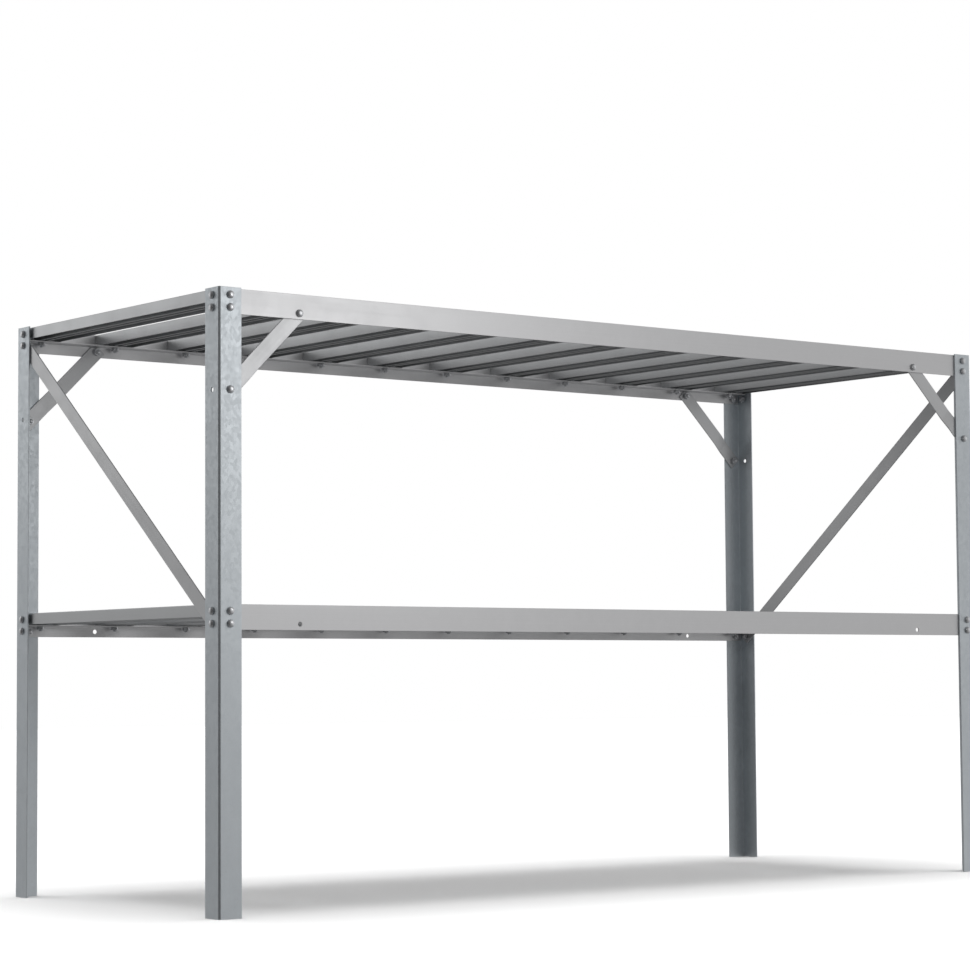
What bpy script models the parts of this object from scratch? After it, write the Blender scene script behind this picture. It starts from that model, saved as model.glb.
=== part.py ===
"""Potting bench: two slatted shelves between four angle legs, bolted together and braced."""

import math

import bmesh
import bpy
from mathutils import Matrix, Vector

# Overall sizes, metres. X runs along the bench, Y from front to back, Z up from the floor.
BENCH_LENGTH = 1.310
BENCH_WIDTH = 0.508
BENCH_HEIGHT = 0.760
LOWER_SHELF_TOP = 0.376

# Legs: equal angles with a small outer bend.
LEG_FLANGE = 0.032
LEG_THICKNESS = 0.002
LEG_BEND_RADIUS = 0.0028
LEG_ABOVE_SHELF = 0.0013

# Rails: an upright web with a ledge under the slats.
RAIL_HEIGHT = 0.031
RAIL_THICKNESS = 0.0016
LEDGE_REACH = 0.018

# Slats: shallow channels, open below, with a bolt groove along the middle.
SLATS_PER_SHELF = 12
SLAT_WIDTH = 0.051
SLAT_DEPTH = 0.0148
SLAT_WALL = 0.0012
SLAT_EDGE_ROUND = 0.0008
GROOVE_INNER_WIDTH = 0.0106
GROOVE_SLOT_WIDTH = 0.0066

# Braces: flat strips, the four knee braces stepped to reach from the rail to the leg.
BRACE_WIDTH = 0.021
BRACE_THICKNESS = 0.0016
BRACE_END_MARGIN = 0.0075
BRACE_CORNER_RADIUS = 0.0035
KNEE_REACH = 0.118
KNEE_DROP = 0.100
KNEE_STEP_START = 0.030
KNEE_STEP_LENGTH = 0.018
BRACE_TRIM_GAP = 0.0005

# Bolts, nuts and their holes.
BOLT_DIAMETER = 0.0055
BOLT_HEAD_DIAMETER = 0.0096
BOLT_HEAD_HEIGHT = 0.0032
BOLT_HEAD_RIM = 0.0010
BOLT_END_LENGTH = 0.0020
NUT_ACROSS_FLATS = 0.0095
NUT_HEIGHT = 0.0045
NUT_CLEARANCE = 0.0020
END_WALL_BOLT_SHARE = 0.55  # how far down the end slat's wall its bolts sit

GAP = 0.0003
DRILL_PAST = 0.0020
FILL_SCALE = 100  # outlines are filled larger than life, where the filling is exact
HOLE_SIDES = 12
BOLT_SIDES = 10
NUT_SIDES = 6
ARC_STEPS = 3

HALF_LENGTH = BENCH_LENGTH / 2
HALF_WIDTH = BENCH_WIDTH / 2
UPPER_SHELF_TOP = BENCH_HEIGHT - LEG_ABOVE_SHELF
SHELF_TOPS = {"upper": UPPER_SHELF_TOP, "lower": LOWER_SHELF_TOP}
NUT_RADIUS = NUT_ACROSS_FLATS / math.sqrt(3)
LEG_GRIP = LEG_THICKNESS + RAIL_THICKNESS + 3 * GAP
WEB_GRIP = RAIL_THICKNESS + BRACE_THICKNESS + 3 * GAP
# The bolts of a leg's two flanges are at the same heights, so their nuts must pass each other.
BOLT_INSET = max(LEG_FLANGE / 2, LEG_GRIP + NUT_HEIGHT + NUT_RADIUS + GAP)
HOLE_DIAMETER = BOLT_DIAMETER + 2 * GAP
WEB_FACE = HALF_WIDTH - LEG_THICKNESS - GAP
WEB_BACK = WEB_FACE - RAIL_THICKNESS
LEG_INSIDE = HALF_LENGTH - LEG_THICKNESS - GAP
SHELF_END = LEG_INSIDE - BRACE_THICKNESS - GAP
LEDGE_DROP = SLAT_DEPTH + GAP
LEDGE_UNDERSIDE_DROP = LEDGE_DROP + RAIL_THICKNESS
# A corner pair's upper bolt goes through the end slat's wall, and the lower one's nut is below the ledge.
UPPER_BOLT_DROP = END_WALL_BOLT_SHARE * SLAT_DEPTH
LOWER_BOLT_DROP = LEDGE_UNDERSIDE_DROP + NUT_ACROSS_FLATS / 2 + NUT_CLEARANCE
SLAT_HALF_LENGTH = WEB_BACK - GAP
SLAT_PITCH = (2 * SHELF_END - SLAT_WIDTH) / (SLATS_PER_SHELF - 1)
SLAT_BOLT_Y = WEB_BACK - LEDGE_REACH / 2
KNEE_BOLT_X = HALF_LENGTH - KNEE_REACH
CORNER_BOLT_X = HALF_LENGTH - BOLT_INSET
CORNER_BOLT_Y = HALF_WIDTH - BOLT_INSET


def clear_scene():
    for item in list(bpy.data.objects):
        bpy.data.objects.remove(item, do_unlink=True)


def make_collection(name):
    collection = bpy.data.collections.new(name)
    bpy.context.scene.collection.children.link(collection)
    return collection


def make_material(name, colour, roughness, metallic):
    material = bpy.data.materials.new(name)
    material.use_nodes = True
    shader = material.node_tree.nodes["Principled BSDF"]
    shader.inputs["Base Color"].default_value = (*colour, 1.0)
    shader.inputs["Roughness"].default_value = roughness
    shader.inputs["Metallic"].default_value = metallic
    return material


def arc(centre, radius, start_degrees, end_degrees, steps=ARC_STEPS):
    """Points of a round corner, both ends included."""
    points = []
    for step in range(steps + 1):
        angle = math.radians(start_degrees + (end_degrees - start_degrees) * step / steps)
        points.append((centre[0] + radius * math.cos(angle), centre[1] + radius * math.sin(angle)))
    return points


def extruded_mesh(name, outline, length):
    """A closed mesh: the outline in XY, extruded along Z, half the length to each side."""
    curve = bpy.data.curves.new(name, "CURVE")
    curve.dimensions = "2D"
    curve.fill_mode = "BOTH"
    curve.extrude = FILL_SCALE * length / 2
    spline = curve.splines.new("POLY")
    spline.points.add(len(outline) - 1)
    for point, (x, y) in zip(spline.points, outline):
        point.co = (FILL_SCALE * x, FILL_SCALE * y, 0.0, 1.0)
    spline.use_cyclic_u = True
    holder = bpy.data.objects.new(name, curve)
    bpy.context.scene.collection.objects.link(holder)
    evaluated = holder.evaluated_get(bpy.context.evaluated_depsgraph_get())
    mesh = bpy.data.meshes.new_from_object(evaluated)
    mesh.name = name
    bpy.data.objects.remove(holder, do_unlink=True)
    bpy.data.curves.remove(curve)
    shape = bmesh.new()
    shape.from_mesh(mesh)
    bmesh.ops.remove_doubles(shape, verts=shape.verts, dist=0.0001)
    bmesh.ops.scale(shape, vec=(1 / FILL_SCALE,) * 3, verts=shape.verts)
    bmesh.ops.recalc_face_normals(shape, faces=shape.faces)
    shape.to_mesh(mesh)
    shape.free()
    return mesh


def add_object(name, mesh, material, collection, matrix=Matrix.Identity(4)):
    piece = bpy.data.objects.new(name, mesh)
    collection.objects.link(piece)
    piece.matrix_world = matrix
    if material and not mesh.materials:
        mesh.materials.append(material)
    return piece


def drill_matrix(point, direction):
    """A matrix that lays a cylinder's axis along the direction, centred on the point."""
    turn = Vector(direction).to_track_quat("Z", "Y").to_matrix().to_4x4()
    return Matrix.Translation(point) @ turn


def hole_cutter(name, holes, collection, wall):
    """One cutter mesh holding a drill for every (point, direction): each point is midway through the wall."""
    shape = bmesh.new()
    depth = wall + 2 * DRILL_PAST
    for point, direction in holes:
        bmesh.ops.create_cone(
            shape, cap_ends=True, segments=HOLE_SIDES, radius1=HOLE_DIAMETER / 2, radius2=HOLE_DIAMETER / 2,
            depth=depth, matrix=drill_matrix(point, direction))
    mesh = bpy.data.meshes.new(name)
    shape.to_mesh(mesh)
    shape.free()
    cutter = add_object(name, mesh, None, collection)
    cutter.hide_render = True
    cutter.display_type = "WIRE"
    return cutter


def box_cutter(name, low, high, collection):
    low, high = Vector(low), Vector(high)
    shape = bmesh.new()
    bmesh.ops.create_cube(
        shape, size=1.0, matrix=Matrix.Translation((low + high) / 2) @ Matrix.Diagonal((*(high - low), 1.0)))
    mesh = bpy.data.meshes.new(name)
    shape.to_mesh(mesh)
    shape.free()
    cutter = add_object(name, mesh, None, collection)
    cutter.hide_render = True
    cutter.display_type = "WIRE"
    return cutter


def cut(mesh, cutters):
    """The mesh with the cutters taken away, as a new mesh."""
    blank = bpy.data.objects.new(mesh.name + "_blank", mesh)
    bpy.context.scene.collection.objects.link(blank)
    for cutter in cutters:
        modifier = blank.modifiers.new(cutter.name, "BOOLEAN")
        modifier.operation = "DIFFERENCE"
        modifier.solver = "EXACT"
        modifier.object = cutter
    evaluated = blank.evaluated_get(bpy.context.evaluated_depsgraph_get())
    result = bpy.data.meshes.new_from_object(evaluated)
    result.name = mesh.name
    bpy.data.objects.remove(blank, do_unlink=True)
    return result


def leg_mesh(cutters):
    """An upright angle whose corner is at the origin and whose flanges run along +X and +Y."""
    inner_radius = max(LEG_BEND_RADIUS - LEG_THICKNESS, 0.0004)
    inner_centre = (LEG_THICKNESS + inner_radius, LEG_THICKNESS + inner_radius)
    outer_centre = (LEG_BEND_RADIUS, LEG_BEND_RADIUS)
    outline = [(LEG_FLANGE, 0.0), (LEG_FLANGE, LEG_THICKNESS)]
    outline += arc(inner_centre, inner_radius, 270, 180)
    outline += [(LEG_THICKNESS, LEG_FLANGE), (0.0, LEG_FLANGE)]
    outline += arc(outer_centre, LEG_BEND_RADIUS, 180, 270)
    blank = extruded_mesh("leg", outline, BENCH_HEIGHT)
    blank.transform(Matrix.Translation((0, 0, BENCH_HEIGHT / 2)))
    heights = [UPPER_SHELF_TOP - LOWER_BOLT_DROP - KNEE_DROP]
    for top in SHELF_TOPS.values():
        heights += [top - UPPER_BOLT_DROP, top - LOWER_BOLT_DROP]
    holes = []
    for height in heights:
        holes.append(((BOLT_INSET, LEG_THICKNESS / 2, height), (0, 1, 0)))
        holes.append(((LEG_THICKNESS / 2, BOLT_INSET, height), (1, 0, 0)))
    return cut(blank, [hole_cutter("leg_holes", holes, cutters, LEG_THICKNESS)])


def rail_mesh(cutters):
    """A rail along X: the web's outer face is y = 0, its top z = 0, and the ledge runs towards +Y."""
    ledge_top = -LEDGE_DROP
    ledge_bottom = -LEDGE_UNDERSIDE_DROP
    reach = RAIL_THICKNESS + LEDGE_REACH
    outline = [
        (0.0, 0.0), (0.0, -RAIL_HEIGHT), (RAIL_THICKNESS, -RAIL_HEIGHT), (RAIL_THICKNESS, ledge_bottom),
        (reach, ledge_bottom), (reach, ledge_top), (RAIL_THICKNESS, ledge_top), (RAIL_THICKNESS, 0.0)]
    blank = extruded_mesh("rail", outline, 2 * SHELF_END)
    blank.transform(Matrix(((0, 0, 1, 0), (1, 0, 0, 0), (0, 1, 0, 0), (0, 0, 0, 1))))
    web_middle = RAIL_THICKNESS / 2
    web_holes = []
    for side in (-1, 1):
        web_holes.append(((side * CORNER_BOLT_X, web_middle, -UPPER_BOLT_DROP), (0, 1, 0)))
        web_holes.append(((side * CORNER_BOLT_X, web_middle, -LOWER_BOLT_DROP), (0, 1, 0)))
        web_holes.append(((side * KNEE_BOLT_X, web_middle, -LOWER_BOLT_DROP), (0, 1, 0)))
    ledge_middle = (ledge_top + ledge_bottom) / 2
    ledge_y = WEB_FACE - SLAT_BOLT_Y
    ledge_holes = [((slat_x(index), ledge_y, ledge_middle), (0, 0, 1)) for index in range(SLATS_PER_SHELF)]
    return cut(blank, [
        hole_cutter("rail_web_holes", web_holes, cutters, RAIL_THICKNESS),
        hole_cutter("rail_ledge_holes", ledge_holes, cutters, RAIL_THICKNESS)])


def slat_x(index):
    """Where the middle of a slat lies along the bench."""
    return -SHELF_END + SLAT_WIDTH / 2 + index * SLAT_PITCH


def slat_outline():
    """The slat's section: across is X, and its top is y = 0."""
    half = SLAT_WIDTH / 2
    rib_outer = GROOVE_INNER_WIDTH / 2 + SLAT_WALL
    rib_inner = GROOVE_INNER_WIDTH / 2
    slot = GROOVE_SLOT_WIDTH / 2
    right = arc((half - SLAT_EDGE_ROUND, -SLAT_EDGE_ROUND), SLAT_EDGE_ROUND, 90, 0, 2)
    right += [
        (half, -SLAT_DEPTH), (half - SLAT_WALL, -SLAT_DEPTH), (half - SLAT_WALL, -SLAT_WALL),
        (rib_outer, -SLAT_WALL), (rib_outer, -SLAT_DEPTH), (slot, -SLAT_DEPTH),
        (slot, -SLAT_DEPTH + SLAT_WALL), (rib_inner, -SLAT_DEPTH + SLAT_WALL), (rib_inner, -SLAT_WALL)]
    left = [(-x, y) for x, y in reversed(right)]
    return right + left


def slat_mesh(name):
    """A slat lying along Y, its top face at z = 0."""
    mesh = extruded_mesh(name, slat_outline(), 2 * SLAT_HALF_LENGTH)
    mesh.transform(Matrix.Rotation(math.radians(90), 4, "X"))
    return mesh


def end_slat_mesh(cutters):
    """The slat beside the left legs, drilled through its outer wall for the leg bolts."""
    wall_x = -SLAT_WIDTH / 2 + SLAT_WALL / 2
    holes = [((wall_x, side * CORNER_BOLT_Y, -UPPER_BOLT_DROP), (1, 0, 0)) for side in (-1, 1)]
    return cut(slat_mesh("end_slat"), [hole_cutter("end_slat_holes", holes, cutters, SLAT_WALL)])


def brace_frame(start, end, inward):
    """Places a strip: X along it from the start bolt to the end bolt, Y inwards, Z across its width."""
    along = (end - start).normalized()
    across = along.cross(inward)
    frame = Matrix((along, inward, across)).transposed().to_4x4()
    return Matrix.Translation(start) @ frame


def knee_brace_mesh(side, cutters):
    """A stepped strip in place at the front, on the left for side -1 and the right for side 1."""
    rail_bolt = Vector((side * KNEE_BOLT_X, -HALF_WIDTH, UPPER_SHELF_TOP - LOWER_BOLT_DROP))
    leg_bolt = Vector((side * CORNER_BOLT_X, -HALF_WIDTH, rail_bolt.z - KNEE_DROP))
    length = (leg_bolt - rail_bolt).length
    rail_depth = HALF_WIDTH - WEB_BACK + GAP
    leg_depth = LEG_THICKNESS + GAP
    step_end = length - KNEE_STEP_START
    near = [(-BRACE_END_MARGIN, rail_depth), (step_end - KNEE_STEP_LENGTH, rail_depth),
            (step_end, leg_depth), (length + BRACE_END_MARGIN, leg_depth)]
    far = [(along, depth + BRACE_THICKNESS) for along, depth in reversed(near)]
    blank = extruded_mesh("knee_brace_" + ("left" if side < 0 else "right"), near + far, BRACE_WIDTH)
    blank.transform(brace_frame(rail_bolt, leg_bolt, Vector((0, 1, 0))))
    holes = []
    for bolt, depth in ((rail_bolt, rail_depth), (leg_bolt, leg_depth)):
        holes.append((bolt + Vector((0, depth + BRACE_THICKNESS / 2, 0)), (0, 1, 0)))
    drills = hole_cutter(blank.name + "_holes", holes, cutters, BRACE_THICKNESS)
    top = UPPER_SHELF_TOP - LEDGE_UNDERSIDE_DROP - BRACE_TRIM_GAP
    leg_face = LEG_INSIDE - BRACE_TRIM_GAP
    far_side = sorted((side * leg_face, side * (leg_face + LEG_FLANGE)))
    reach = KNEE_REACH + LEG_FLANGE
    top_trim = box_cutter(
        blank.name + "_top_trim", (rail_bolt.x - reach, -HALF_WIDTH - LEG_FLANGE, top),
        (rail_bolt.x + reach, -HALF_WIDTH + LEG_FLANGE, top + BENCH_HEIGHT), cutters)
    leg_trim = box_cutter(
        blank.name + "_leg_trim", (far_side[0], -HALF_WIDTH - LEG_FLANGE, leg_bolt.z - reach),
        (far_side[1], -HALF_WIDTH + LEG_FLANGE, leg_bolt.z + reach), cutters)
    return cut(blank, [drills, top_trim, leg_trim])


def side_brace_mesh(cutters):
    """The left end's long strip, in place, falling from the back leg's top to the front leg's lower joint."""
    start = Vector((-LEG_INSIDE, CORNER_BOLT_Y, UPPER_SHELF_TOP - LOWER_BOLT_DROP))
    end = Vector((-LEG_INSIDE, -CORNER_BOLT_Y, LOWER_SHELF_TOP - LOWER_BOLT_DROP))
    length = (end - start).length
    half = BRACE_WIDTH / 2
    low, high = -BRACE_END_MARGIN, length + BRACE_END_MARGIN
    corner = BRACE_CORNER_RADIUS
    outline = arc((high - corner, half - corner), corner, 90, 0, 2)
    outline += arc((high - corner, -half + corner), corner, 0, -90, 2)
    outline += arc((low + corner, -half + corner), corner, 270, 180, 2)
    outline += arc((low + corner, half - corner), corner, 180, 90, 2)
    blank = extruded_mesh("side_brace", outline, BRACE_THICKNESS)
    lay_flat = Matrix.Translation((0, BRACE_THICKNESS / 2, 0)) @ Matrix.Rotation(math.radians(90), 4, "X")
    blank.transform(brace_frame(start, end, Vector((1, 0, 0))) @ lay_flat)
    middle = Vector((BRACE_THICKNESS / 2, 0, 0))
    holes = [(bolt + middle, (1, 0, 0)) for bolt in (start, end)]
    drills = hole_cutter("side_brace_holes", holes, cutters, BRACE_THICKNESS)
    keep = HALF_WIDTH - LEG_THICKNESS - BRACE_TRIM_GAP
    trims = []
    for side, name in ((-1, "front"), (1, "back")):
        low_y, high_y = sorted((side * keep, side * (keep + LEG_FLANGE)))
        low_corner = (-HALF_LENGTH, low_y, 0)
        high_corner = (-HALF_LENGTH + LEG_FLANGE, high_y, BENCH_HEIGHT)
        trims.append(box_cutter("side_brace_trim_" + name, low_corner, high_corner, cutters))
    return cut(blank, [drills] + trims)


def bolt_profile(grip):
    """A round-head bolt's profile for turning about Z, as a mesh of edges; the head's underside is z = 0."""
    shank = BOLT_DIAMETER / 2
    head = BOLT_HEAD_DIAMETER / 2
    end = grip + NUT_HEIGHT + BOLT_END_LENGTH
    slant = math.sqrt(0.5)
    dome = BOLT_HEAD_RIM + (BOLT_HEAD_HEIGHT - BOLT_HEAD_RIM) * slant
    profile = [
        (0.0, -BOLT_HEAD_HEIGHT), (slant * head, -dome), (head, -BOLT_HEAD_RIM),
        (head, 0.0), (shank, 0.0), (shank, end), (0.0, end)]
    mesh = bpy.data.meshes.new("bolt_profile")
    edges = [(index, index + 1) for index in range(len(profile) - 1)]
    mesh.from_pydata([(x, 0.0, z) for x, z in profile], edges, [])
    return mesh


def nut_mesh(grip):
    """A nut past the grip, turned so that two of its flats face up and down."""
    turn = Matrix.Rotation(math.pi / NUT_SIDES, 4, "Z")
    shape = bmesh.new()
    bmesh.ops.create_cone(
        shape, cap_ends=True, segments=NUT_SIDES, radius1=NUT_RADIUS, radius2=NUT_RADIUS, depth=NUT_HEIGHT,
        matrix=Matrix.Translation((0, 0, grip + NUT_HEIGHT / 2)) @ turn)
    mesh = bpy.data.meshes.new("nut")
    shape.to_mesh(mesh)
    shape.free()
    return mesh


def bolt_with_nut(name, grip):
    """A turned bolt joined to its nut as one closed body."""
    bolt = bpy.data.objects.new(name, bolt_profile(grip))
    nut = bpy.data.objects.new(name + "_nut", nut_mesh(grip))
    for item in (bolt, nut):
        bpy.context.scene.collection.objects.link(item)
    turning = bolt.modifiers.new("turning", "SCREW")
    turning.axis = "Z"
    turning.steps = BOLT_SIDES
    turning.render_steps = BOLT_SIDES
    turning.use_merge_vertices = True
    turning.merge_threshold = 0.00001
    turning.use_normal_calculate = True
    joining = bolt.modifiers.new("nut", "BOOLEAN")
    joining.operation = "UNION"
    joining.solver = "EXACT"
    joining.object = nut
    evaluated = bolt.evaluated_get(bpy.context.evaluated_depsgraph_get())
    result = bpy.data.meshes.new_from_object(evaluated)
    result.name = name
    result.set_sharp_from_angle(angle=math.radians(40))
    for item in (bolt, nut):
        bpy.data.objects.remove(item, do_unlink=True)
    return result


def place(piece, parent):
    matrix = piece.matrix_world.copy()
    piece.parent = parent
    piece.matrix_world = matrix


def corner_name(x_side, y_side):
    return ("front" if y_side < 0 else "back") + "_" + ("left" if x_side < 0 else "right")


def add_legs(parts, material, cutters):
    mesh = leg_mesh(cutters)
    corners = {(-1, -1): 0, (1, -1): 90, (1, 1): 180, (-1, 1): 270}
    for (x_side, y_side), degrees in corners.items():
        matrix = Matrix.Translation((x_side * HALF_LENGTH, y_side * HALF_WIDTH, 0))
        matrix = matrix @ Matrix.Rotation(math.radians(degrees), 4, "Z")
        add_object("leg_" + corner_name(x_side, y_side), mesh, material, parts, matrix)


def add_rails(parts, material, cutters):
    mesh = rail_mesh(cutters)
    for shelf, top in SHELF_TOPS.items():
        for y_side, where, degrees in ((-1, "front", 0), (1, "back", 180)):
            turn = Matrix.Rotation(math.radians(degrees), 4, "Z")
            matrix = Matrix.Translation((0, y_side * WEB_FACE, top)) @ turn
            add_object(shelf + "_rail_" + where, mesh, material, parts, matrix)


def add_slats(parts, material, cutters):
    plain = slat_mesh("slat")
    drilled = end_slat_mesh(cutters)
    last = SLATS_PER_SHELF - 1
    for shelf, top in SHELF_TOPS.items():
        for index in range(SLATS_PER_SHELF):
            mesh = drilled if index in (0, last) else plain
            turn = Matrix.Rotation(math.pi if index == last else 0.0, 4, "Z")
            matrix = Matrix.Translation((slat_x(index), 0, top)) @ turn
            add_object(f"{shelf}_slat_{index + 1:02d}", mesh, material, parts, matrix)


def add_knee_braces(parts, material, cutters):
    half_turn = Matrix.Rotation(math.pi, 4, "Z")
    for side in (-1, 1):
        mesh = knee_brace_mesh(side, cutters)
        add_object("knee_brace_" + corner_name(side, -1), mesh, material, parts)
        add_object("knee_brace_" + corner_name(-side, 1), mesh, material, parts, half_turn)


def add_side_braces(parts, material, cutters):
    mesh = side_brace_mesh(cutters)
    add_object("side_brace_left", mesh, material, parts)
    add_object("side_brace_right", mesh, material, parts, Matrix.Rotation(math.pi, 4, "Z"))


def add_bolts(parts, material):
    leg_bolt = bolt_with_nut("leg_bolt", LEG_GRIP)
    web_bolt = bolt_with_nut("web_bolt", WEB_GRIP)
    knee_z = UPPER_SHELF_TOP - LOWER_BOLT_DROP
    for x_side, y_side in ((-1, -1), (1, -1), (-1, 1), (1, 1)):
        corner = corner_name(x_side, y_side)
        inward = (0, -y_side, 0)
        leg_face = y_side * (HALF_WIDTH + GAP)
        web_face = y_side * (WEB_FACE + GAP)
        rail_point = (x_side * KNEE_BOLT_X, web_face, knee_z)
        add_object("knee_rail_bolt_" + corner, web_bolt, material, parts, drill_matrix(rail_point, inward))
        leg_point = (x_side * CORNER_BOLT_X, leg_face, knee_z - KNEE_DROP)
        add_object("knee_leg_bolt_" + corner, leg_bolt, material, parts, drill_matrix(leg_point, inward))
        for shelf, top in SHELF_TOPS.items():
            point = (x_side * CORNER_BOLT_X, leg_face, top - LOWER_BOLT_DROP)
            add_object(f"{shelf}_rail_bolt_{corner}", leg_bolt, material, parts, drill_matrix(point, inward))
    # A side brace falls from the back on the left end and from the front on the right end.
    for x_side in (-1, 1):
        for shelf, y_side in (("upper", -x_side), ("lower", x_side)):
            height = SHELF_TOPS[shelf] - LOWER_BOLT_DROP
            point = (x_side * (HALF_LENGTH + GAP), y_side * CORNER_BOLT_Y, height)
            name = f"side_brace_bolt_{shelf}_" + ("left" if x_side < 0 else "right")
            add_object(name, leg_bolt, material, parts, drill_matrix(point, (-x_side, 0, 0)))


def main():
    clear_scene()
    parts = make_collection("potting_bench")
    cutters = make_collection("cutters")
    galvanised = make_material("galvanised_steel", (0.52, 0.54, 0.56), 0.42, 1.0)
    brace_steel = make_material("brace_steel", (0.50, 0.52, 0.54), 0.45, 1.0)
    rail_alloy = make_material("rail_aluminium", (0.62, 0.62, 0.63), 0.40, 1.0)
    slat_alloy = make_material("slat_aluminium", (0.58, 0.59, 0.60), 0.42, 1.0)
    bolt_zinc = make_material("bolt_zinc", (0.60, 0.61, 0.63), 0.30, 1.0)
    add_legs(parts, galvanised, cutters)
    add_rails(parts, rail_alloy, cutters)
    add_slats(parts, slat_alloy, cutters)
    add_knee_braces(parts, brace_steel, cutters)
    add_side_braces(parts, brace_steel, cutters)
    add_bolts(parts, bolt_zinc)
    frame = bpy.data.objects.new("bench_frame", None)
    parts.objects.link(frame)
    for piece in list(parts.objects):
        if piece.type == "MESH":
            place(piece, frame)


main()
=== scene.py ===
import math

import bmesh
import bpy
from mathutils import Matrix, Vector


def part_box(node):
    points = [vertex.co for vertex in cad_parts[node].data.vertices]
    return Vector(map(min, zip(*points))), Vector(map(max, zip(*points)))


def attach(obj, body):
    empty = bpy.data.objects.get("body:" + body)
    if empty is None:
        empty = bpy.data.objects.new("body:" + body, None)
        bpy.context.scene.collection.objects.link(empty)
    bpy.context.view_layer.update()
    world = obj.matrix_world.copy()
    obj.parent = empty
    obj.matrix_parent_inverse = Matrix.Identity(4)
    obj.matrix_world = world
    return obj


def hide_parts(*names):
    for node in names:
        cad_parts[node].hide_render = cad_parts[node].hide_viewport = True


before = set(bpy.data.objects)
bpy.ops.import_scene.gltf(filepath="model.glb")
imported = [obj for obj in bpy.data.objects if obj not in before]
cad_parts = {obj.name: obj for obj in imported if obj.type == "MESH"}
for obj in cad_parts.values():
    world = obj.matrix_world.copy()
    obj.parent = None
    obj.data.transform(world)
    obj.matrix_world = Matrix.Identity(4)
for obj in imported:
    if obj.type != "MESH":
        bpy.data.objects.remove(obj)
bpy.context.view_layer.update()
print("bench frame loaded:", len(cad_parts), "pieces")

# Sizes are metres. X runs along the bench, Y from its front to its back, Z up from the floor.


class Wire:  # one output socket, so that shader maths reads as arithmetic
    def __init__(self, graph, socket):
        self.graph = graph
        self.socket = socket

    def __add__(self, other):
        return self.graph.maths("ADD", self, other)

    def __sub__(self, other):
        return self.graph.maths("SUBTRACT", self, other)

    def __rsub__(self, other):
        return self.graph.maths("SUBTRACT", other, self)

    def __mul__(self, other):
        return self.graph.maths("MULTIPLY", self, other)

    __radd__ = __add__
    __rmul__ = __mul__


class Graph:  # a node tree, filled one node at a time
    def __init__(self, tree):
        self.tree = tree

    def feed(self, socket, value):
        if isinstance(value, Wire):
            self.tree.links.new(value.socket, socket)
        else:
            socket.default_value = value

    def node(self, kind, settings=None, sockets=None, output=0):
        made = self.tree.nodes.new(kind)
        for key, value in (settings or {}).items():
            setattr(made, key, value)
        for key, value in (sockets or {}).items():
            self.feed(made.inputs[key], value)
        return Wire(self, made.outputs[output])

    def maths(self, operation, first, second):
        return self.node("ShaderNodeMath", {"operation": operation}, {0: first, 1: second})

    def span(self, value, fromLow, fromHigh, toLow, toHigh):
        return self.node("ShaderNodeMapRange", {"clamp": True}, {
            "Value": value, "From Min": fromLow, "From Max": fromHigh, "To Min": toLow, "To Max": toHigh})

    def blend(self, share, first, second):  # from the first colour to the second
        colours = {0: share, 6: (*first, 1.0), 7: (*second, 1.0)}
        return self.node("ShaderNodeMix", {"data_type": "RGBA"}, colours, 2)

    def stretched(self, scale):  # the piece's own coordinates, stretched so that a grain runs along it
        place = self.node("ShaderNodeTexCoord", output="Object")
        return self.node("ShaderNodeVectorMath", {"operation": "MULTIPLY"}, {0: place, 1: scale})

    def noise(self, vector, scale, detail=3.0, roughness=0.5):
        return self.node("ShaderNodeTexNoise", {}, {
            "Vector": vector, "Scale": scale, "Detail": detail, "Roughness": roughness})

    def bump(self, height, strength, distance):
        sockets = {"Height": height, "Strength": strength, "Distance": distance}
        return self.node("ShaderNodeBump", {}, sockets)


def newFinish(name, metallic):  # the material, its graph and its shader's sockets
    material = bpy.data.materials.new(name)
    material.use_nodes = True
    shader = material.node_tree.nodes["Principled BSDF"]
    shader.inputs["Metallic"].default_value = metallic
    return material, Graph(material.node_tree), shader.inputs


# Camera.
viewpoint = {"place": (-2.4957, -3.1833, 0.2769), "turn": 37.443, "rise": 3.970, "lean": -0.382,
             "lens": 106.65, "sensor": 36.0}


def aimCamera():
    turn, rise, lean = (math.radians(viewpoint[key]) for key in ("turn", "rise", "lean"))
    forward = Vector((math.sin(turn) * math.cos(rise), math.cos(turn) * math.cos(rise), math.sin(rise)))
    level = Vector((math.cos(turn), -math.sin(turn), 0.0))
    upright = level.cross(forward)
    right = math.cos(lean) * level + math.sin(lean) * upright
    top = math.cos(lean) * upright - math.sin(lean) * level
    data = bpy.data.cameras.new("benchCamera")
    data.sensor_fit = "HORIZONTAL"
    data.sensor_width = viewpoint["sensor"]
    data.lens = viewpoint["lens"]
    camera = bpy.data.objects.new("benchCamera", data)
    bpy.context.scene.collection.objects.link(camera)
    facing = Matrix((right, top, -forward)).transposed().to_4x4()
    camera.matrix_world = Matrix.Translation(viewpoint["place"]) @ facing
    bpy.context.scene.camera = camera


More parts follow.
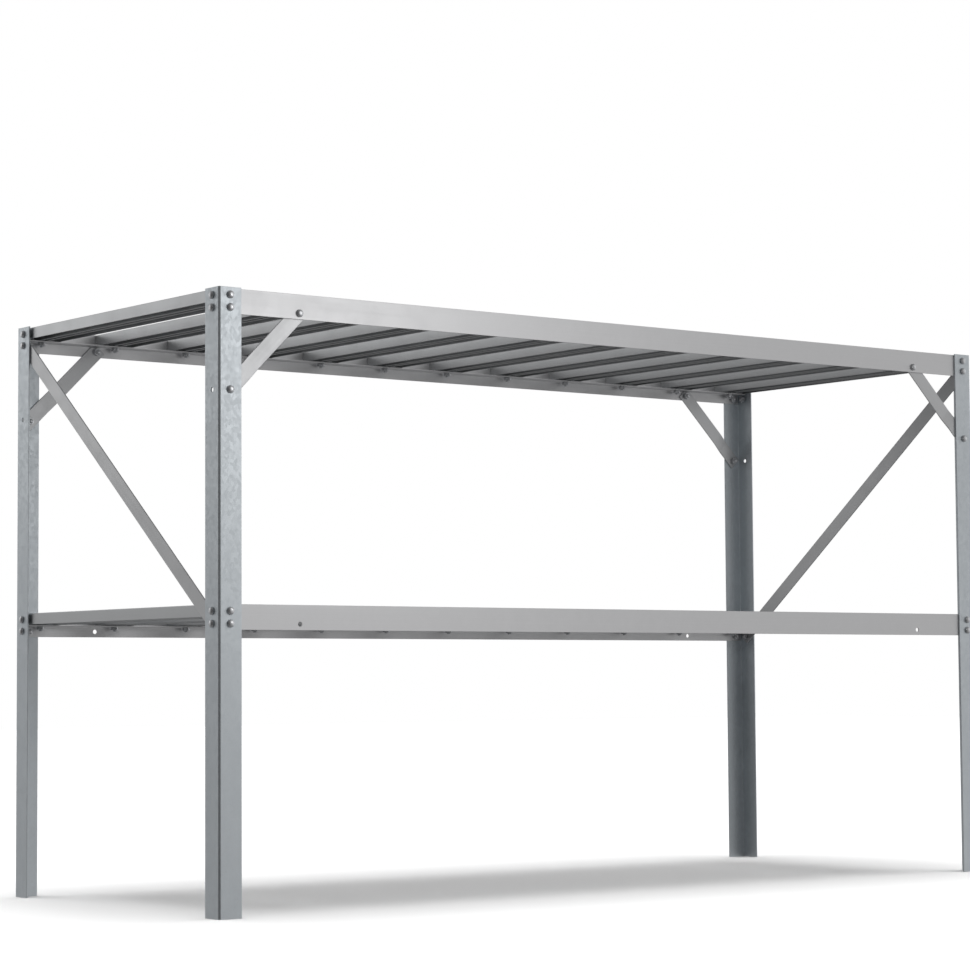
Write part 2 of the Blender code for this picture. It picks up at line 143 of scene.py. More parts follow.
# Room: a pale floor, a soft glow from each side, soft lights on the bench and a wide sun on the floor.
room = {
    "floorColour": (0.90, 0.90, 0.90), "floorSize": 14.0,
    "glows": {
        "leftBack": {"towards": (-0.60, 0.80, 0.10), "strength": 0.27, "spread": 5.0},
        "rightFront": {"towards": (0.60, -0.80, 0.10), "strength": 0.52, "spread": 5.0},
        "right": {"towards": (1.0, 0.0, 0.10), "strength": 0.75, "spread": 5.0},
        "back": {"towards": (0.0, 1.0, 0.10), "strength": 0.53, "spread": 5.0},
        "leftFront": {"towards": (-0.70, -0.70, 0.10), "strength": 0.10, "spread": 5.0},
        "above": {"towards": (0.0, 0.0, 1.0), "strength": 0.25, "spread": 2.0},
        "below": {"towards": (0.0, 0.0, -1.0), "strength": 0.32, "spread": 2.0}},
    "lights": {
        "nearLight": {"at": (0.05, -1.2, 0.75), "aim": (-0.4, -0.25, 0.6), "size": 0.4, "power": 0.88},
        "cornerLight": {"at": (-0.25, -0.9, 0.95), "aim": (-0.6, -0.25, 0.65), "size": 0.3, "power": 0.24},
        "leftLight": {"at": (-1.3, 1.3, 1.0), "aim": (0.0, 0.0, 0.5), "size": 0.8, "power": 0.95}},
    "sun": {"at": (0.0, 0.0, 3.0), "aim": (0.0, 0.0, 0.0), "power": 3.3, "angle": 48.0},
}


def layFloor():
    mesh = bpy.data.meshes.new("paleFloor")
    shape = bmesh.new()
    bmesh.ops.create_grid(shape, x_segments=1, y_segments=1, size=room["floorSize"])
    shape.to_mesh(mesh)
    shape.free()
    floor = bpy.data.objects.new("paleFloor", mesh)
    bpy.context.scene.collection.objects.link(floor)
    finish, _, surface = newFinish("paleFloor", 0.0)
    surface["Base Color"].default_value = (*room["floorColour"], 1.0)
    surface["Roughness"].default_value = 1.0
    surface["Specular IOR Level"].default_value = 0.0
    mesh.materials.append(finish)
    floor.visible_diffuse = False  # the metal then keeps its dark undersides
    floor.visible_glossy = False
    return floor


def addLight(name, kind, values, reaches):
    data = bpy.data.lights.new(name, kind)
    data.energy = values["power"]
    light = bpy.data.objects.new(name, data)
    bpy.context.scene.collection.objects.link(light)
    light.location = values["at"]
    towards = Vector(values["aim"]) - Vector(values["at"])
    light.rotation_euler = towards.to_track_quat("-Z", "Y").to_euler()
    light.visible_camera = False
    light.light_linking.receiver_collection = reaches
    return data


def floorLinks(floor, state):  # a light's list of what it reaches: only the floor, or all but the floor
    links = bpy.data.collections.new("floor" + state.capitalize())
    links.objects.link(floor)
    links.collection_objects[0].light_linking.link_state = state
    return links


def lightRoom(floor):
    world = bpy.data.worlds.new("softRoom")
    world.use_nodes = True
    bpy.context.scene.world = world
    graph = Graph(world.node_tree)
    direction = graph.node("ShaderNodeTexCoord", output="Generated")
    light = 0.0
    for glow in room["glows"].values():
        towards = Vector(glow["towards"]).normalized()
        facing = graph.node("ShaderNodeVectorMath", {"operation": "DOT_PRODUCT"},
                            {0: direction, 1: towards}, "Value")
        near = graph.maths("POWER", graph.maths("MAXIMUM", facing, 0.0), glow["spread"])
        light = near * glow["strength"] + light
    seen = graph.node("ShaderNodeLightPath", output="Is Camera Ray")
    background = world.node_tree.nodes["Background"]
    background.inputs["Color"].default_value = (1.0, 1.0, 1.0, 1.0)
    graph.feed(background.inputs["Strength"], light * (1 - seen) + seen)
    benchOnly = floorLinks(floor, "EXCLUDE")
    for name, values in room["lights"].items():
        addLight(name, "AREA", values, benchOnly).size = values["size"]
    sun = addLight("floorSun", "SUN", room["sun"], floorLinks(floor, "INCLUDE"))
    sun.angle = math.radians(room["sun"]["angle"])
    bpy.context.scene.view_settings.view_transform = "Standard"


# Shapes that the pieces share.
def softOutline(bends, steps=4):  # bends are (x, y, radius), and each one is rounded by its radius
    points = []
    for index, (x, y, radius) in enumerate(bends):
        here = Vector((x, y))
        if radius == 0:
            points.append(here)
            continue
        toLast = (Vector(bends[index - 1][:2]) - here).normalized()
        toNext = (Vector(bends[(index + 1) % len(bends)][:2]) - here).normalized()
        half = toLast.angle(toNext) / 2
        centre = here + (toLast + toNext).normalized() * (radius / math.sin(half))
        reach = radius / math.tan(half)
        first = here + toLast * reach - centre
        last = here + toNext * reach - centre
        for step in range(steps + 1):
            points.append(centre + first.lerp(last, step / steps).normalized() * radius)
    return points


def extruded(outline, length):  # the outline in XY drawn along Z, half the length to each side
    shape = bmesh.new()
    ring = [shape.verts.new((x, y, -length / 2)) for x, y in outline]
    made = bmesh.ops.extrude_face_region(shape, geom=[shape.faces.new(ring)])
    moved = [item for item in made["geom"] if isinstance(item, bmesh.types.BMVert)]
    bmesh.ops.translate(shape, vec=(0, 0, length), verts=moved)
    bmesh.ops.recalc_face_normals(shape, faces=shape.faces)
    return shape


def turned(profile, sides=40):  # a profile of (radius, height) turned about Z
    shape = bmesh.new()
    points = [shape.verts.new((x, 0.0, z)) for x, z in profile]
    edges = [shape.edges.new(pair) for pair in zip(points, points[1:])]
    bmesh.ops.spin(shape, geom=points + edges, cent=(0, 0, 0), axis=(0, 0, 1), dvec=(0, 0, 0),
                   angle=math.tau, steps=sides, use_merge=True)
    bmesh.ops.remove_doubles(shape, verts=shape.verts, dist=0.000001)
    bmesh.ops.recalc_face_normals(shape, faces=shape.faces)
    return shape


def asMesh(name, shape):
    mesh = bpy.data.meshes.new(name)
    shape.to_mesh(mesh)
    shape.free()
    return mesh


def pointing(point, direction):  # lays Z along the direction, with its start at the point
    turn = Vector(direction).to_track_quat("Z", "Y").to_matrix().to_4x4()
    return Matrix.Translation(point) @ turn


def holePins(holes, radius, depth, sides=28):  # (point, direction) of each hole's middle
    shape = bmesh.new()
    for point, direction in holes:
        bmesh.ops.create_cone(shape, cap_ends=True, segments=sides, radius1=radius, radius2=radius,
                              depth=depth, matrix=pointing(point, direction))
    return asMesh("holePins", shape)


def applied(name, mesh, changes):  # the mesh with its modifiers applied, each a (kind, settings)
    holder = bpy.data.objects.new(name, mesh)
    bpy.context.scene.collection.objects.link(holder)
    for kind, settings in changes:
        modifier = holder.modifiers.new(kind, kind)
        for key, value in settings.items():
            setattr(modifier, key, value)
    result = bpy.data.meshes.new_from_object(holder.evaluated_get(bpy.context.evaluated_depsgraph_get()))
    result.name = name
    bpy.data.objects.remove(holder, do_unlink=True)
    return result


def rounding(width, segments, angle):  # a modifier that rounds the edges sharper than the angle
    return "BEVEL", {"width": width, "segments": segments, "limit_method": "ANGLE",
                     "angle_limit": math.radians(angle), "use_clamp_overlap": False}


def shadeSmooth(mesh, sharpAngle):
    for face in mesh.polygons:
        face.use_smooth = True
    mesh.set_sharp_from_angle(angle=math.radians(sharpAngle))


def worked(name, blank, steps, edgeRound, angle=38.0):  # cuts the blank, rounds its edges, evens its shading
    tools, changes = [], []
    for operation, toolMesh in steps:
        tool = bpy.data.objects.new(name + "Tool", toolMesh)
        bpy.context.scene.collection.objects.link(tool)
        tools.append(tool)
        changes.append(("BOOLEAN", {"operation": operation, "solver": "EXACT", "object": tool}))
    changes.append(rounding(edgeRound, 2, angle))
    mesh = applied(name, blank, changes)
    for tool in tools:
        bpy.data.objects.remove(tool, do_unlink=True)
    shadeSmooth(mesh, 50.0)
    return applied(name, mesh, [("WEIGHTED_NORMAL", {"keep_sharp": True, "weight": 100})])


def addPiece(name, mesh, finish, replaced, matrix=Matrix.Identity(4)):  # replaced: CAD nodes
    piece = bpy.data.objects.new(name, mesh)
    bpy.context.scene.collection.objects.link(piece)
    piece.matrix_world = matrix
    if not mesh.materials:
        mesh.materials.append(finish)
    if replaced:
        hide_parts(*replaced)
    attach(piece, "root")
    return piece


def middle(node):
    low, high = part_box(node)
    return (low + high) / 2


# Each corner's end of its node names, its side along X and its side along Y.
corners = {"FrontLeft": ("front_left", -1, -1), "FrontRight": ("front_right", 1, -1),
           "BackLeft": ("back_left", -1, 1), "BackRight": ("back_right", 1, 1)}
shelfTops = {"upper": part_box("upper_rail_front")[1].z, "lower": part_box("lower_rail_front")[1].z}
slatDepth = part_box("upper_slat_01")[1].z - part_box("upper_slat_01")[0].z
slatCount = sum(name.startswith("upper_slat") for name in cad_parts)


# Legs: steel angles, hot dip galvanised.
legShape = {"wall": 0.0020, "outerBend": 0.0028, "innerBend": 0.0009, "edgeRound": 0.0004,
            "cutRound": 0.00022, "holeRadius": 0.00305, "upperBoltShare": 0.55}
legLook = {"colour": (0.735, 0.78, 0.815), "pale": (0.88, 0.93, 0.965), "metallic": 0.90,
           "spangleScale": 260.0, "warpScale": 160.0, "warp": 0.003, "patchScale": 30.0, "grainScale": 900.0,
           "roughLow": 0.44, "roughHigh": 0.56, "relief": 0.22, "reliefDepth": 0.0004}


def galvanisedFinish(name, look):
    material, graph, surface = newFinish(name, look["metallic"])
    place = graph.stretched((1.0, 1.0, 0.8))
    warped = graph.node("ShaderNodeVectorMath", {"operation": "MULTIPLY_ADD"}, {
        0: graph.noise(place, look["warpScale"], 2.0), 1: (look["warp"],) * 3, 2: place})
    spangle = graph.node("ShaderNodeTexVoronoi", {"feature": "F1"}, {
        "Vector": warped, "Scale": look["spangleScale"]}, "Color")
    crystal = graph.node("ShaderNodeSeparateColor", {}, {0: spangle})
    patches = graph.noise(place, look["patchScale"], 5.0, 0.62)
    grain = graph.noise(place, look["grainScale"], 2.0)
    cloudy = graph.span(patches, 0.36, 0.66, 0.0, 1.0)
    tone = crystal * 0.30 + cloudy * 0.40 + grain * 0.20 + 0.05
    graph.feed(surface["Base Color"], graph.blend(tone, look["colour"], look["pale"]))
    rough = graph.span(crystal * 0.6 + grain * 0.4, 0.2, 0.8, look["roughLow"], look["roughHigh"])
    graph.feed(surface["Roughness"], rough + cloudy * 0.04)
    relief = crystal * 0.10 + patches * 1.0 + grain * 0.10
    graph.feed(surface["Normal"], graph.bump(relief, look["relief"], look["reliefDepth"]))
    return material


def legMesh(cornerName):
    legLow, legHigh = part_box("leg_" + cornerName)
    flange = legHigh.x - legLow.x
    height = legHigh.z - legLow.z
    wall, soft = legShape["wall"], legShape["edgeRound"]
    outline = softOutline([
        (0.0, 0.0, legShape["outerBend"]), (flange, 0.0, soft), (flange, wall, soft),
        (wall, wall, legShape["innerBend"]), (wall, flange, soft), (0.0, flange, soft)], 6)
    blank = extruded(outline, height)
    bmesh.ops.translate(blank, vec=(0, 0, height / 2), verts=blank.verts)
    inset = abs(legLow.x) - abs(middle("upper_rail_bolt_front_left").x)
    heights = [middle("knee_leg_bolt_front_left").z]
    for shelf, top in shelfTops.items():
        heights += [top - legShape["upperBoltShare"] * slatDepth, middle(shelf + "_rail_bolt_front_left").z]
    holes = []
    for z in heights:
        holes.append(((inset, wall / 2, z), (0, 1, 0)))
        holes.append(((wall / 2, inset, z), (1, 0, 0)))
    pins = holePins(holes, legShape["holeRadius"], 3 * wall)
    return worked("legAngle", asMesh("legBlank", blank), [("DIFFERENCE", pins)], legShape["cutRound"])


def makeLegs(finish):
    mesh = legMesh("front_left")
    turns = {"FrontLeft": 0, "FrontRight": 90, "BackRight": 180, "BackLeft": 270}
    for corner, (node, xSide, ySide) in corners.items():
        low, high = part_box("leg_" + node)
        x = low.x if xSide < 0 else high.x
        y = low.y if ySide < 0 else high.y
        matrix = Matrix.Translation((x, y, 0.0)) @ Matrix.Rotation(math.radians(turns[corner]), 4, "Z")
        addPiece("leg" + corner, mesh, finish, ["leg_" + node], matrix)


# Rails: mill finish aluminium, a web with a ledge that the slats lie on.
railShape = {"wall": 0.0016, "clearance": 0.0003, "fillet": 0.0007, "edgeRound": 0.0004, "cutRound": 0.0002,
             "holeRadius": 0.00305, "ledgeReach": 0.018}
railLook = {"colour": (0.76, 0.76, 0.77), "pale": (0.92, 0.92, 0.93), "metallic": 0.92,
            "grain": (3.0, 420.0, 420.0), "patchScale": 22.0, "roughLow": 0.44, "roughHigh": 0.56,
            "relief": 0.16, "reliefDepth": 0.0004}


def drawnFinish(name, look):  # fine lines along the piece, faint bands and a few dull patches
    material, graph, surface = newFinish(name, look["metallic"])
    lines = graph.noise(graph.stretched(look["grain"]), 1.0, 4.0, 0.6)
    bands = graph.noise(graph.stretched(tuple(value ** 0.62 for value in look["grain"])), 1.0, 2.0)
    patches = graph.noise(graph.stretched((1.0, 1.0, 1.0)), look["patchScale"], 5.0, 0.65)
    dull = graph.span(patches, 0.42, 0.70, 0.0, 1.0)
    tone = lines * 0.45 + bands * 0.35 + dull * 0.35 - 0.08
    graph.feed(surface["Base Color"], graph.blend(tone, look["colour"], look["pale"]))
    rough = graph.span(lines * 0.5 + bands * 0.3 + dull * 0.3, 0.3, 0.8, look["roughLow"], look["roughHigh"])
    graph.feed(surface["Roughness"], rough)
    relief = lines * 0.5 + bands * 0.8 + patches * 0.3
    graph.feed(surface["Normal"], graph.bump(relief, look["relief"], look["reliefDepth"]))
    return material


def railMesh(shelf):
    low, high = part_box(shelf + "_rail_front")
    wall, soft = railShape["wall"], railShape["edgeRound"]
    ledgeTop = -slatDepth - railShape["clearance"]
    depth = high.z - low.z
    reach = high.y - low.y
    fillet = railShape["fillet"]
    outline = softOutline([
        (0.0, 0.0, soft), (0.0, -depth, soft), (wall, -depth, soft), (wall, ledgeTop - wall, fillet),
        (reach, ledgeTop - wall, soft), (reach, ledgeTop, soft), (wall, ledgeTop, fillet),
        (wall, 0.0, soft)])
    blank = extruded(outline, high.x - low.x)
    blank.transform(Matrix(((0, 0, 1, 0), (1, 0, 0, 0), (0, 1, 0, 0), (0, 0, 0, 1))))
    cornerX = abs(middle(shelf + "_rail_bolt_front_left").x)
    kneeX = abs(middle("knee_rail_bolt_front_left").x)
    lowerZ = middle(shelf + "_rail_bolt_front_left").z - high.z
    holes = []
    for side in (-1, 1):
        for x, z in ((cornerX, -legShape["upperBoltShare"] * slatDepth), (cornerX, lowerZ), (kneeX, lowerZ)):
            holes.append(((side * x, wall / 2, z), (0, 1, 0)))
    for number in range(1, slatCount + 1):
        x = middle(f"{shelf}_slat_{number:02d}").x
        holes.append(((x, reach - railShape["ledgeReach"] / 2, ledgeTop - wall / 2), (0, 0, 1)))
    pins = holePins(holes, railShape["holeRadius"], 3 * wall)
    return worked(shelf + "Rail", asMesh("railBlank", blank), [("DIFFERENCE", pins)], railShape["cutRound"])


def makeRails(finish):
    for shelf in shelfTops:
        mesh = railMesh(shelf)
        for where, degrees in (("front", 0), ("back", 180)):
            node = f"{shelf}_rail_{where}"
            low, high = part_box(node)
            y = low.y if where == "front" else high.y
            matrix = Matrix.Translation((0.0, y, high.z)) @ Matrix.Rotation(math.radians(degrees), 4, "Z")
            name = shelf + "Rail" + where.capitalize()
            addPiece(name, mesh, finish, [node], matrix)


# Slats: shallow aluminium channels, open below, with a groove for the bolt heads.
slatLook = {**railLook, "colour": (0.57, 0.58, 0.59), "pale": (0.69, 0.70, 0.71),
            "grain": (420.0, 3.0, 420.0), "roughLow": 0.34, "roughHigh": 0.48}
slatShape = {"wall": 0.0012, "shoulder": 0.0009, "edgeRound": 0.00035, "fillet": 0.0005, "cutRound": 0.00018,
             "grooveInner": 0.0106, "grooveSlot": 0.0066, "holeRadius": 0.00305}


def slatMesh(drilled):  # the end slats are drilled for the legs' upper bolts
    low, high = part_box("upper_slat_01")
    half = (high.x - low.x) / 2
    depth = high.z - low.z
    wall, soft, fillet = slatShape["wall"], slatShape["edgeRound"], slatShape["fillet"]
    inner = slatShape["grooveInner"] / 2
    slot = slatShape["grooveSlot"] / 2
    right = [
        (half, 0.0, slatShape["shoulder"]), (half, -depth, soft), (half - wall, -depth, soft),
        (half - wall, -wall, fillet), (inner + wall, -wall, fillet), (inner + wall, -depth, soft),
        (slot, -depth, soft), (slot, -depth + wall, soft), (inner, -depth + wall, fillet),
        (inner, -wall, fillet)]
    left = [(-x, y, radius) for x, y, radius in reversed(right)]
    blank = extruded(softOutline(right + left, 3), high.y - low.y)
    blank.transform(Matrix.Rotation(math.radians(90), 4, "X"))
    steps = []
    if drilled:
        boltY = abs(middle("side_brace_bolt_upper_left").y)
        boltZ = -legShape["upperBoltShare"] * slatDepth
        holes = [((-half + wall / 2, side * boltY, boltZ), (1, 0, 0)) for side in (-1, 1)]
        steps = [("DIFFERENCE", holePins(holes, slatShape["holeRadius"], 3 * wall))]
    name = "endSlat" if drilled else "slat"
    return worked(name, asMesh("slatBlank", blank), steps, slatShape["cutRound"])


def makeSlats(finish):
    plain, drilled = slatMesh(False), slatMesh(True)
    for shelf, top in shelfTops.items():
        for number in range(1, slatCount + 1):
            node = f"{shelf}_slat_{number:02d}"
            mesh = drilled if number in (1, slatCount) else plain
            turn = Matrix.Rotation(math.pi if number == slatCount else 0.0, 4, "Z")
            matrix = Matrix.Translation((middle(node).x, 0.0, top)) @ turn
            addPiece(f"{shelf}Slat{number:02d}", mesh, finish, [node], matrix)


# Braces: flat steel strips with rolled edges; the knee braces are stepped near the leg.
braceShape = {"width": 0.021, "wall": 0.0016, "endMargin": 0.0075, "rolledEdge": 0.00075, "cutRound": 0.0003,
              "holeRadius": 0.00305, "stepStart": 0.030, "stepLength": 0.018, "stepRadius": 0.006,
              "cornerRadius": 0.0035, "trimReach": 0.2}
braceLook = {**railLook, "colour": (0.63, 0.635, 0.645), "pale": (0.80, 0.805, 0.815),
             "grain": (4.0, 300.0, 300.0), "roughLow": 0.42}


def slab(low, high):
    shape = bmesh.new()
    size = Vector(high) - Vector(low)
    place = Matrix.Translation((Vector(low) + Vector(high)) / 2) @ Matrix.Diagonal((*size, 1.0))
    bmesh.ops.create_cube(shape, size=1.0, matrix=place)
    return asMesh("slab", shape)


def stripFrame(start, end, inward):  # X runs along the strip from its first bolt, Y inwards through it
    along = (end - start).normalized()
    across = along.cross(inward)
    return Matrix.Translation(start) @ Matrix((along, inward, across)).transposed().to_4x4()


def finishStrip(name, blank, strip, holes, trims):  # the trims are slabs in the bench's own frame
    rolled = applied(name + "Rolled", blank, [rounding(braceShape["rolledEdge"], 3, 50.0)])
    for trim in trims:
        trim.transform(strip.inverted())
    pins = holePins(holes, braceShape["holeRadius"], 3 * braceShape["wall"])
    steps = [("DIFFERENCE", pins)] + [("DIFFERENCE", trim) for trim in trims]
    return worked(name, rolled, steps, braceShape["cutRound"], 50.0)


def kneeBraceMesh(corner):
    node, xSide, _ = corners[corner]
    low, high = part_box("knee_brace_" + node)
    railBolt = middle("knee_rail_bolt_" + node)
    legBolt = middle("knee_leg_bolt_" + node)
    wall, margin = braceShape["wall"], braceShape["endMargin"]
    start, end = Vector((railBolt.x, low.y, railBolt.z)), Vector((legBolt.x, low.y, legBolt.z))
    strip = stripFrame(start, end, Vector((0, 1, 0)))
    length = (end - start).length
    step = high.y - wall - low.y
    stepEnd = length - braceShape["stepStart"]
    stepFrom = stepEnd - braceShape["stepLength"]
    bend = braceShape["stepRadius"]
    outline = softOutline([
        (-margin, step, 0), (stepFrom, step, bend), (stepEnd, 0.0, bend + wall), (length + margin, 0.0, 0),
        (length + margin, wall, 0), (stepEnd, wall, bend), (stepFrom, step + wall, bend + wall),
        (-margin, step + wall, 0)], 5)
    blank = asMesh("kneeBlank", extruded(outline, braceShape["width"]))
    holes = [((0.0, step + wall / 2, 0.0), (0, 1, 0)), ((length, wall / 2, 0.0), (0, 1, 0))]
    far = braceShape["trimReach"]
    top = slab((-1.0, -1.0, high.z), (1.0, 1.0, high.z + far))
    if xSide < 0:
        leg = slab((low.x - far, -1.0, 0.0), (low.x, 1.0, 1.0))
    else:
        leg = slab((high.x, -1.0, 0.0), (high.x + far, 1.0, 1.0))
    return finishStrip("kneeBrace" + corner, blank, strip, holes, [top, leg]), strip


def makeKneeBraces(finish):
    halfTurn = Matrix.Rotation(math.pi, 4, "Z")
    for corner, opposite in (("FrontLeft", "BackRight"), ("FrontRight", "BackLeft")):
        mesh, strip = kneeBraceMesh(corner)
        for name, matrix in ((corner, strip), (opposite, halfTurn @ strip)):
            node = "knee_brace_" + corners[name][0]
            addPiece("kneeBrace" + name, mesh, finish, [node], matrix)


def makeSideBraces(finish):
    low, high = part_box("side_brace_left")
    upper = middle("side_brace_bolt_upper_left")
    lower = middle("side_brace_bolt_lower_left")
    start, end = Vector((low.x, upper.y, upper.z)), Vector((low.x, lower.y, lower.z))
    strip = stripFrame(start, end, Vector((1, 0, 0)))
    length = (end - start).length
    half, margin, bend = braceShape["width"] / 2, braceShape["endMargin"], braceShape["cornerRadius"]
    outline = softOutline([(-margin, -half, bend), (length + margin, -half, bend),
                           (length + margin, half, bend), (-margin, half, bend)], 6)
    wall, far = braceShape["wall"], braceShape["trimReach"]
    shape = extruded(outline, wall)
    shape.transform(Matrix.Translation((0, wall / 2, 0)) @ Matrix.Rotation(math.radians(90), 4, "X"))
    trims = [slab((-1.0, low.y - far, 0.0), (0.0, low.y, 1.0)),
             slab((-1.0, high.y, 0.0), (0.0, high.y + far, 1.0))]
    holes = [((0.0, wall / 2, 0.0), (0, 1, 0)), ((length, wall / 2, 0.0), (0, 1, 0))]
    mesh = finishStrip("sideBrace", asMesh("sideBlank", shape), strip, holes, trims)
    halfTurn = Matrix.Rotation(math.pi, 4, "Z")
    addPiece("sideBraceLeft", mesh, finish, ["side_brace_left"], strip)
    addPiece("sideBraceRight", mesh, finish, ["side_brace_right"], halfTurn @ strip)


# Bolts: round heads outside, hexagon nuts inside, bright zinc.
boltShape = {"shank": 0.00275, "head": 0.0048, "headHeight": 0.0032, "headRim": 0.0010, "rimRound": 0.0003,
             "pitch": 0.0008, "threadDepth": 0.00042, "past": 0.0020,
             "nutAcross": 0.0095, "nutHeight": 0.0045, "nutRound": 0.00015, "nutFace": 0.0045,
             "boreRadius": 0.00262, "boreMouth": 0.0034, "mouthDepth": 0.0008,
             "legGrip": 0.0045, "webGrip": 0.0041, "slatGrip": 0.0034, "slatGap": 0.0001}
boltLook = {"colour": (0.62, 0.63, 0.65), "pale": (0.84, 0.85, 0.87), "metallic": 0.95,
            "cloudScale": 240.0, "grainScale": 2600.0, "roughLow": 0.24, "roughHigh": 0.42,
            "relief": 0.2, "reliefDepth": 0.0001}


def zincFinish(name, look):
    material, graph, surface = newFinish(name, look["metallic"])
    place = graph.stretched((1.0, 1.0, 1.0))
    cloudy = graph.span(graph.noise(place, look["cloudScale"], 3.0, 0.6), 0.35, 0.68, 0.0, 1.0)
    grain = graph.noise(place, look["grainScale"], 2.0)
    tone = cloudy * 0.6 + grain * 0.4
    graph.feed(surface["Base Color"], graph.blend(tone, look["colour"], look["pale"]))
    graph.feed(surface["Roughness"], graph.span(tone, 0.2, 0.8, look["roughHigh"], look["roughLow"]))
    relief = cloudy * 0.6 + grain * 0.3
    graph.feed(surface["Normal"], graph.bump(relief, look["relief"], look["reliefDepth"]))
    return material


def headAndShank(grip):
    head, rim, soft = boltShape["head"], boltShape["headRim"], boltShape["rimRound"]
    rise = boltShape["headHeight"] - rim
    angles = [math.radians(degrees) for degrees in range(0, 91, 9)]
    dome = [(head * math.sin(angle), -rim - rise * math.cos(angle)) for angle in angles]
    shank = [(head, -soft), (head - soft, 0.0), (boltShape["shank"], 0.0), (boltShape["shank"], grip)]
    return turned(dome + shank)


def threadedEnd(shape, start, end, columns=24, rowsPerTurn=6):  # a helical thread round Z, closed at its end
    pitch, radius, depth = boltShape["pitch"], boltShape["shank"], boltShape["threadDepth"]
    rows = int((end - start) / pitch * rowsPerTurn) + 2 * rowsPerTurn
    grid = []
    for row in range(rows + 1):
        ring = []
        for column in range(columns + 1):
            turn = row / rowsPerTurn + column / columns - 1.0
            height = min(max(start + turn * pitch, start), end)
            groove = abs(2 * (row % rowsPerTurn) / rowsPerTurn - 1)
            reach = min(radius - depth * groove, radius - depth * 1.3 + (end - height))
            angle = math.tau * column / columns
            ring.append(shape.verts.new((reach * math.cos(angle), reach * math.sin(angle), height)))
        grid.append(ring)
    for lower, upper in zip(grid, grid[1:]):
        for index in range(columns):
            shape.faces.new((lower[index], lower[index + 1], upper[index + 1], upper[index]))
    tip = shape.verts.new((0.0, 0.0, end))
    for index in range(columns):
        shape.faces.new((grid[-1][index], grid[-1][index + 1], tip))


def nutMesh():
    across, height = boltShape["nutAcross"] / 2, boltShape["nutHeight"]
    point = across / math.cos(math.pi / 6)
    turns = [math.pi / 3 * side for side in range(6)]
    blank = extruded([(point * math.cos(turn), point * math.sin(turn)) for turn in turns], height)
    blank.transform(Matrix.Translation((0, 0, height / 2)))
    wide, face = across * 1.35, boltShape["nutFace"]
    slope = (wide - face) * math.tan(math.radians(30))
    cone = turned([(0.0, 0.0), (face, 0.0), (wide, slope), (wide, height - slope), (face, height),
                   (0.0, height)], 48)
    inner, mouth, lead = boltShape["boreRadius"], boltShape["boreMouth"], boltShape["mouthDepth"]
    past = 0.001
    bore = turned([(0.0, -past), (mouth, -past), (mouth, 0.0), (inner, lead), (inner, height - lead),
                   (mouth, height), (mouth, height + past), (0.0, height + past)], 32)
    steps = [("INTERSECT", asMesh("nutCone", cone)), ("DIFFERENCE", asMesh("nutBore", bore))]
    return worked("nut", asMesh("nutBlank", blank), steps, boltShape["nutRound"], 30.0)


def boltMesh(name, grip, nut):
    shape = headAndShank(grip)
    thread = bmesh.new()
    threadedEnd(thread, grip, grip + boltShape["nutHeight"] + boltShape["past"])
    bmesh.ops.remove_doubles(thread, verts=thread.verts, dist=0.000004)
    bmesh.ops.recalc_face_normals(thread, faces=thread.faces)
    threadMesh = asMesh(name + "Thread", thread)
    shape.from_mesh(threadMesh)
    nutAt = nut.copy()
    nutAt.transform(Matrix.Translation((0, 0, grip)) @ Matrix.Rotation(math.pi / 6, 4, "Z"))
    shape.from_mesh(nutAt)
    mesh = asMesh(name, shape)
    shadeSmooth(mesh, 38.0)
    return mesh


def boltSet(name, mesh, places, finish):  # many bolts as one piece
    shape = bmesh.new()
    for matrix in places:
        copy = mesh.copy()
        copy.transform(matrix)
        shape.from_mesh(copy)
        bpy.data.meshes.remove(copy)
    joined = asMesh(name, shape)
    joined.materials.clear()
    addPiece(name, joined, finish, [])


def seat(node, axis, side):  # where the underside of the head lies, at the bench's outer side
    low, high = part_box(node)
    return low[axis] + boltShape["headHeight"] if side < 0 else high[axis] - boltShape["headHeight"]


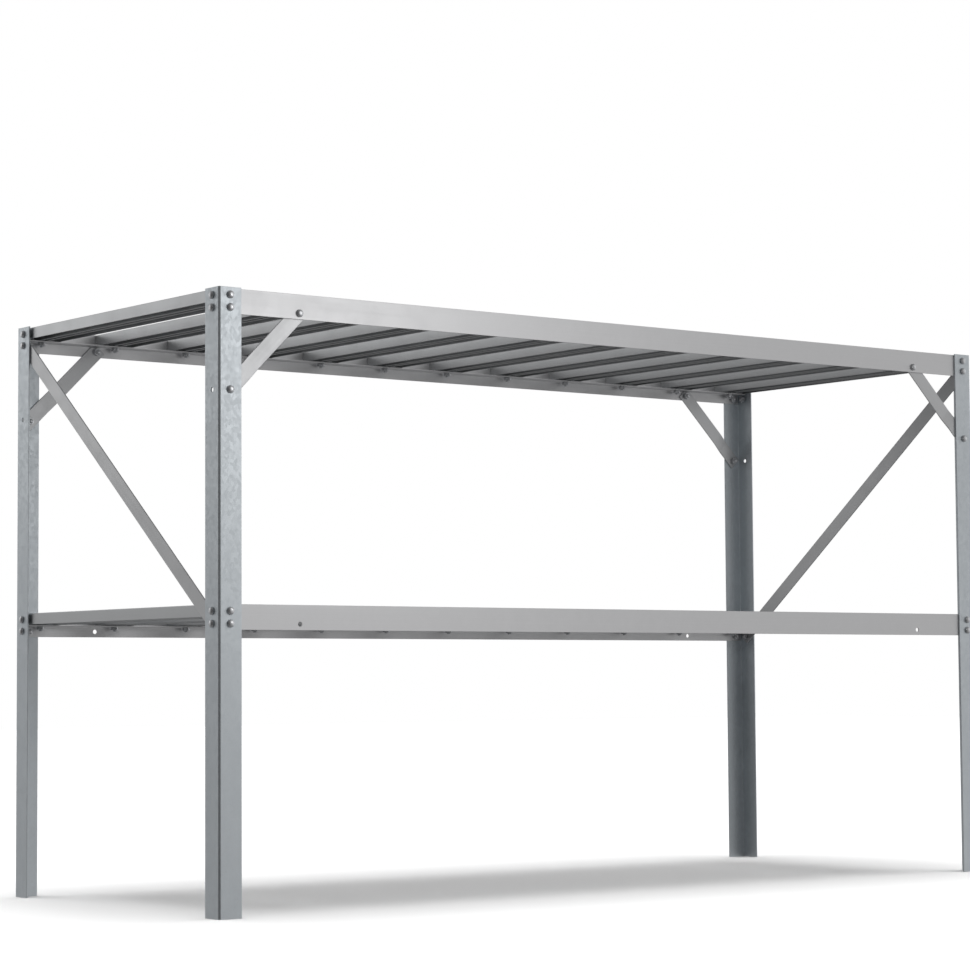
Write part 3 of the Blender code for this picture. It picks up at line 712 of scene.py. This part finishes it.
def makeCornerBolts(corner, legBolt, webBolt, finish):
    node, xSide, ySide = corners[corner]
    inwardX, inwardY = (-xSide, 0, 0), (0, -ySide, 0)
    point = middle("knee_rail_bolt_" + node)
    matrix = pointing((point.x, seat("knee_rail_bolt_" + node, 1, ySide), point.z), inwardY)
    addPiece("kneeRailBolt" + corner, webBolt, finish, ["knee_rail_bolt_" + node], matrix)
    legY = seat("knee_leg_bolt_" + node, 1, ySide)
    point = middle("knee_leg_bolt_" + node)
    matrix = pointing((point.x, legY, point.z), inwardY)
    addPiece("kneeLegBolt" + corner, legBolt, finish, ["knee_leg_bolt_" + node], matrix)
    legLow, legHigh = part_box("leg_" + node)
    headGap = abs(legY) - max(abs(legLow.y), abs(legHigh.y))
    legX = xSide * (max(abs(legLow.x), abs(legHigh.x)) + headGap)
    sideY = ySide * abs(middle("side_brace_bolt_upper_left").y)
    extra = []
    for shelf, top in shelfTops.items():
        nodeName = f"{shelf}_rail_bolt_{node}"
        point = middle(nodeName)
        matrix = pointing((point.x, legY, point.z), inwardY)
        addPiece(f"{shelf}RailBolt{corner}", legBolt, finish, [nodeName], matrix)
        upperZ = top - legShape["upperBoltShare"] * slatDepth
        extra.append(pointing((point.x, legY, upperZ), inwardY))
        extra.append(pointing((legX, sideY, upperZ), inwardX))
        braced = (shelf == "upper") == (xSide * ySide < 0)  # a side brace's own bolt is here
        if not braced:
            extra.append(pointing((legX, sideY, point.z), inwardX))
    boltSet("cornerBolts" + corner, legBolt, extra, finish)


def makeSideBraceBolts(legBolt, finish):
    for side, xSide in (("left", -1), ("right", 1)):
        for shelf in shelfTops:
            node = f"side_brace_bolt_{shelf}_{side}"
            point = middle(node)
            matrix = pointing((seat(node, 0, xSide), point.y, point.z), (-xSide, 0, 0))
            name = f"sideBraceBolt{shelf.capitalize()}{side.capitalize()}"
            addPiece(name, legBolt, finish, [node], matrix)


def makeSlatBolts(slatBolt, finish):
    for shelf, top in shelfTops.items():
        slatNodes = [f"{shelf}_slat_{number:02d}" for number in range(1, slatCount + 1)]
        z = top - slatDepth + slatShape["wall"] + boltShape["slatGap"]
        for where, ySide in (("front", -1), ("back", 1)):
            low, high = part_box(f"{shelf}_rail_{where}")
            y = (high.y if ySide < 0 else low.y) + ySide * railShape["ledgeReach"] / 2
            places = [pointing((middle(node).x, y, z), (0, 0, -1)) for node in slatNodes]
            boltSet(f"{shelf}SlatBolts{where.capitalize()}", slatBolt, places, finish)


def makeBolts(finish):
    nut = nutMesh()
    legBolt = boltMesh("legBolt", boltShape["legGrip"], nut)
    webBolt = boltMesh("webBolt", boltShape["webGrip"], nut)
    slatBolt = boltMesh("slatBolt", boltShape["slatGrip"], nut)
    for corner in corners:
        makeCornerBolts(corner, legBolt, webBolt, finish)
    makeSideBraceBolts(legBolt, finish)
    makeSlatBolts(slatBolt, finish)


aimCamera()
lightRoom(layFloor())
print("camera, floor and light ready")
makeLegs(galvanisedFinish("galvanisedSteel", legLook))
makeRails(drawnFinish("railAluminium", railLook))
makeSlats(drawnFinish("slatAluminium", slatLook))
print("legs, rails and slats made")
braceFinish = drawnFinish("braceSteel", braceLook)
makeKneeBraces(braceFinish)
makeSideBraces(braceFinish)
makeBolts(zincFinish("boltZinc", boltLook))
print("braces and bolts made")
